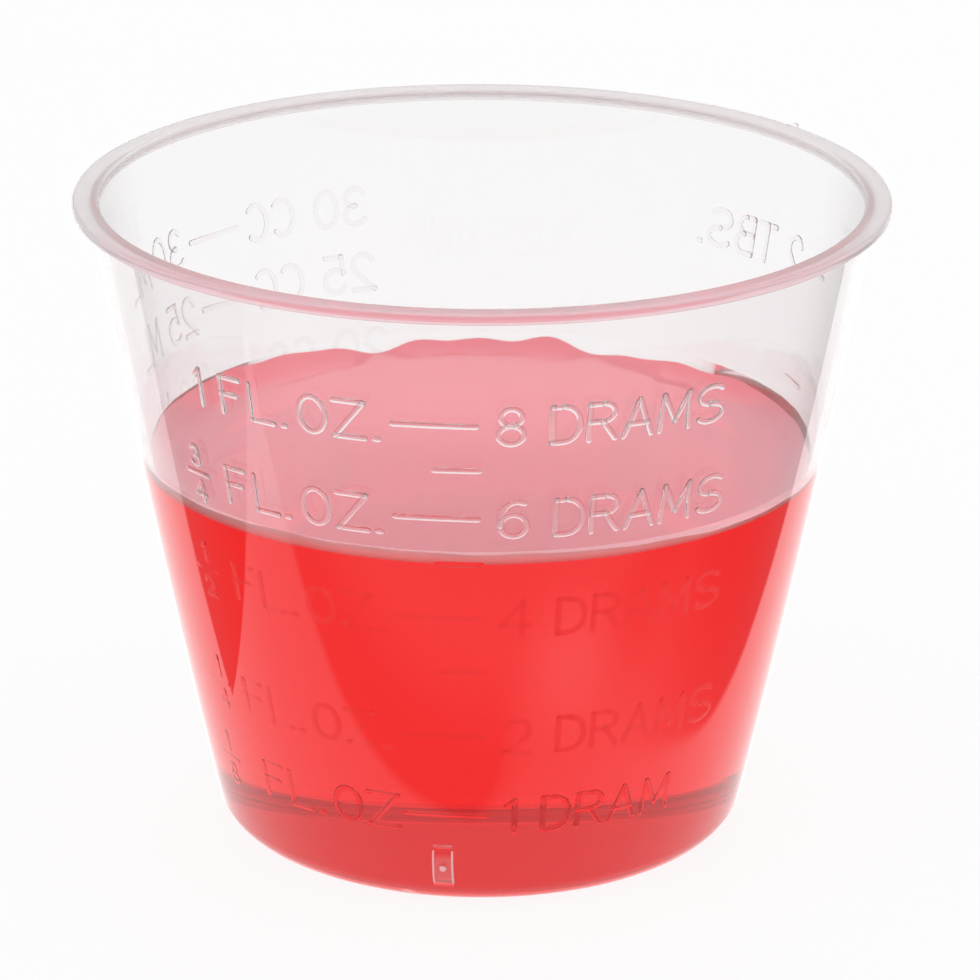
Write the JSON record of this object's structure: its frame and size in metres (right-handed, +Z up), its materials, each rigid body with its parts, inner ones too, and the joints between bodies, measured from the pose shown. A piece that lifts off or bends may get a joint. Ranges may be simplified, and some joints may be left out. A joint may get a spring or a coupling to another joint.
{
  "type": "medicine cup",
  "caption": "Clear tapered dosing cup with a rolled rim, a raised foot ring and low stacking ribs, part filled with a dose of red liquid whose edge creeps up the wall.",
  "frame": {"origin": "centre of the foot, on the surface that the cup stands on", "axes": "+Z up along the cup's axis; the ounce scale faces -Y, a little to the -X side"},
  "size_m": [0.0464, 0.0464, 0.0375],
  "materials": {
    "clear_plastic": "clear moulded polypropylene, slightly milky, smooth and glossy",
    "red_liquid": "clear bright red syrup with a still, glossy surface"
  },
  "bodies": {
    "root": {"cup": "clear_plastic", "liquid": "red_liquid"}
  },
  "joints": []
}
